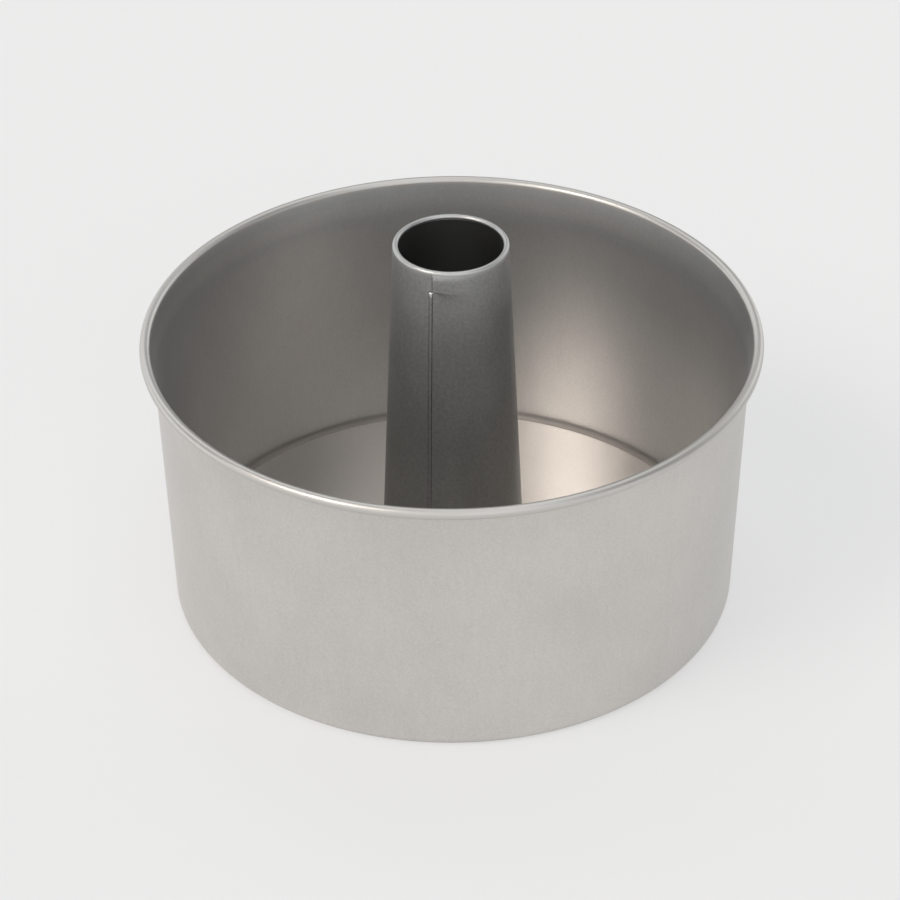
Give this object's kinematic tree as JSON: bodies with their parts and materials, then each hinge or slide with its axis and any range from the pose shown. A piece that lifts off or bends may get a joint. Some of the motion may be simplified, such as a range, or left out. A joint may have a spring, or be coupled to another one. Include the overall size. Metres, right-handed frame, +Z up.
{
  "type": "angel food cake pan",
  "caption": "Tall round cake pan with a rolled rim and a loose flat base that lifts out by its seamed conical centre tube.",
  "frame": {"origin": "on the table, under the centre of the pan", "axes": "+Z up the axis of the pan and its tube, front of the pan at -Y"},
  "size_m": [0.21, 0.21, 0.1345],
  "materials": {
    "wall_metal": "satin, spun",
    "plate_metal": "satin",
    "tube_metal": "satin, rolled sheet"
  },
  "bodies": {
    "pan": {"pan_wall": "wall_metal"},
    "loose_base": {"base_plate": "plate_metal", "centre_tube": "tube_metal"}
  },
  "joints": [
    {"name": "loose_base_lift", "type": "slide", "parent": "pan", "child": "loose_base", "axis": [0, 0, 1], "range_m": [0, 0.12]}
  ]
}
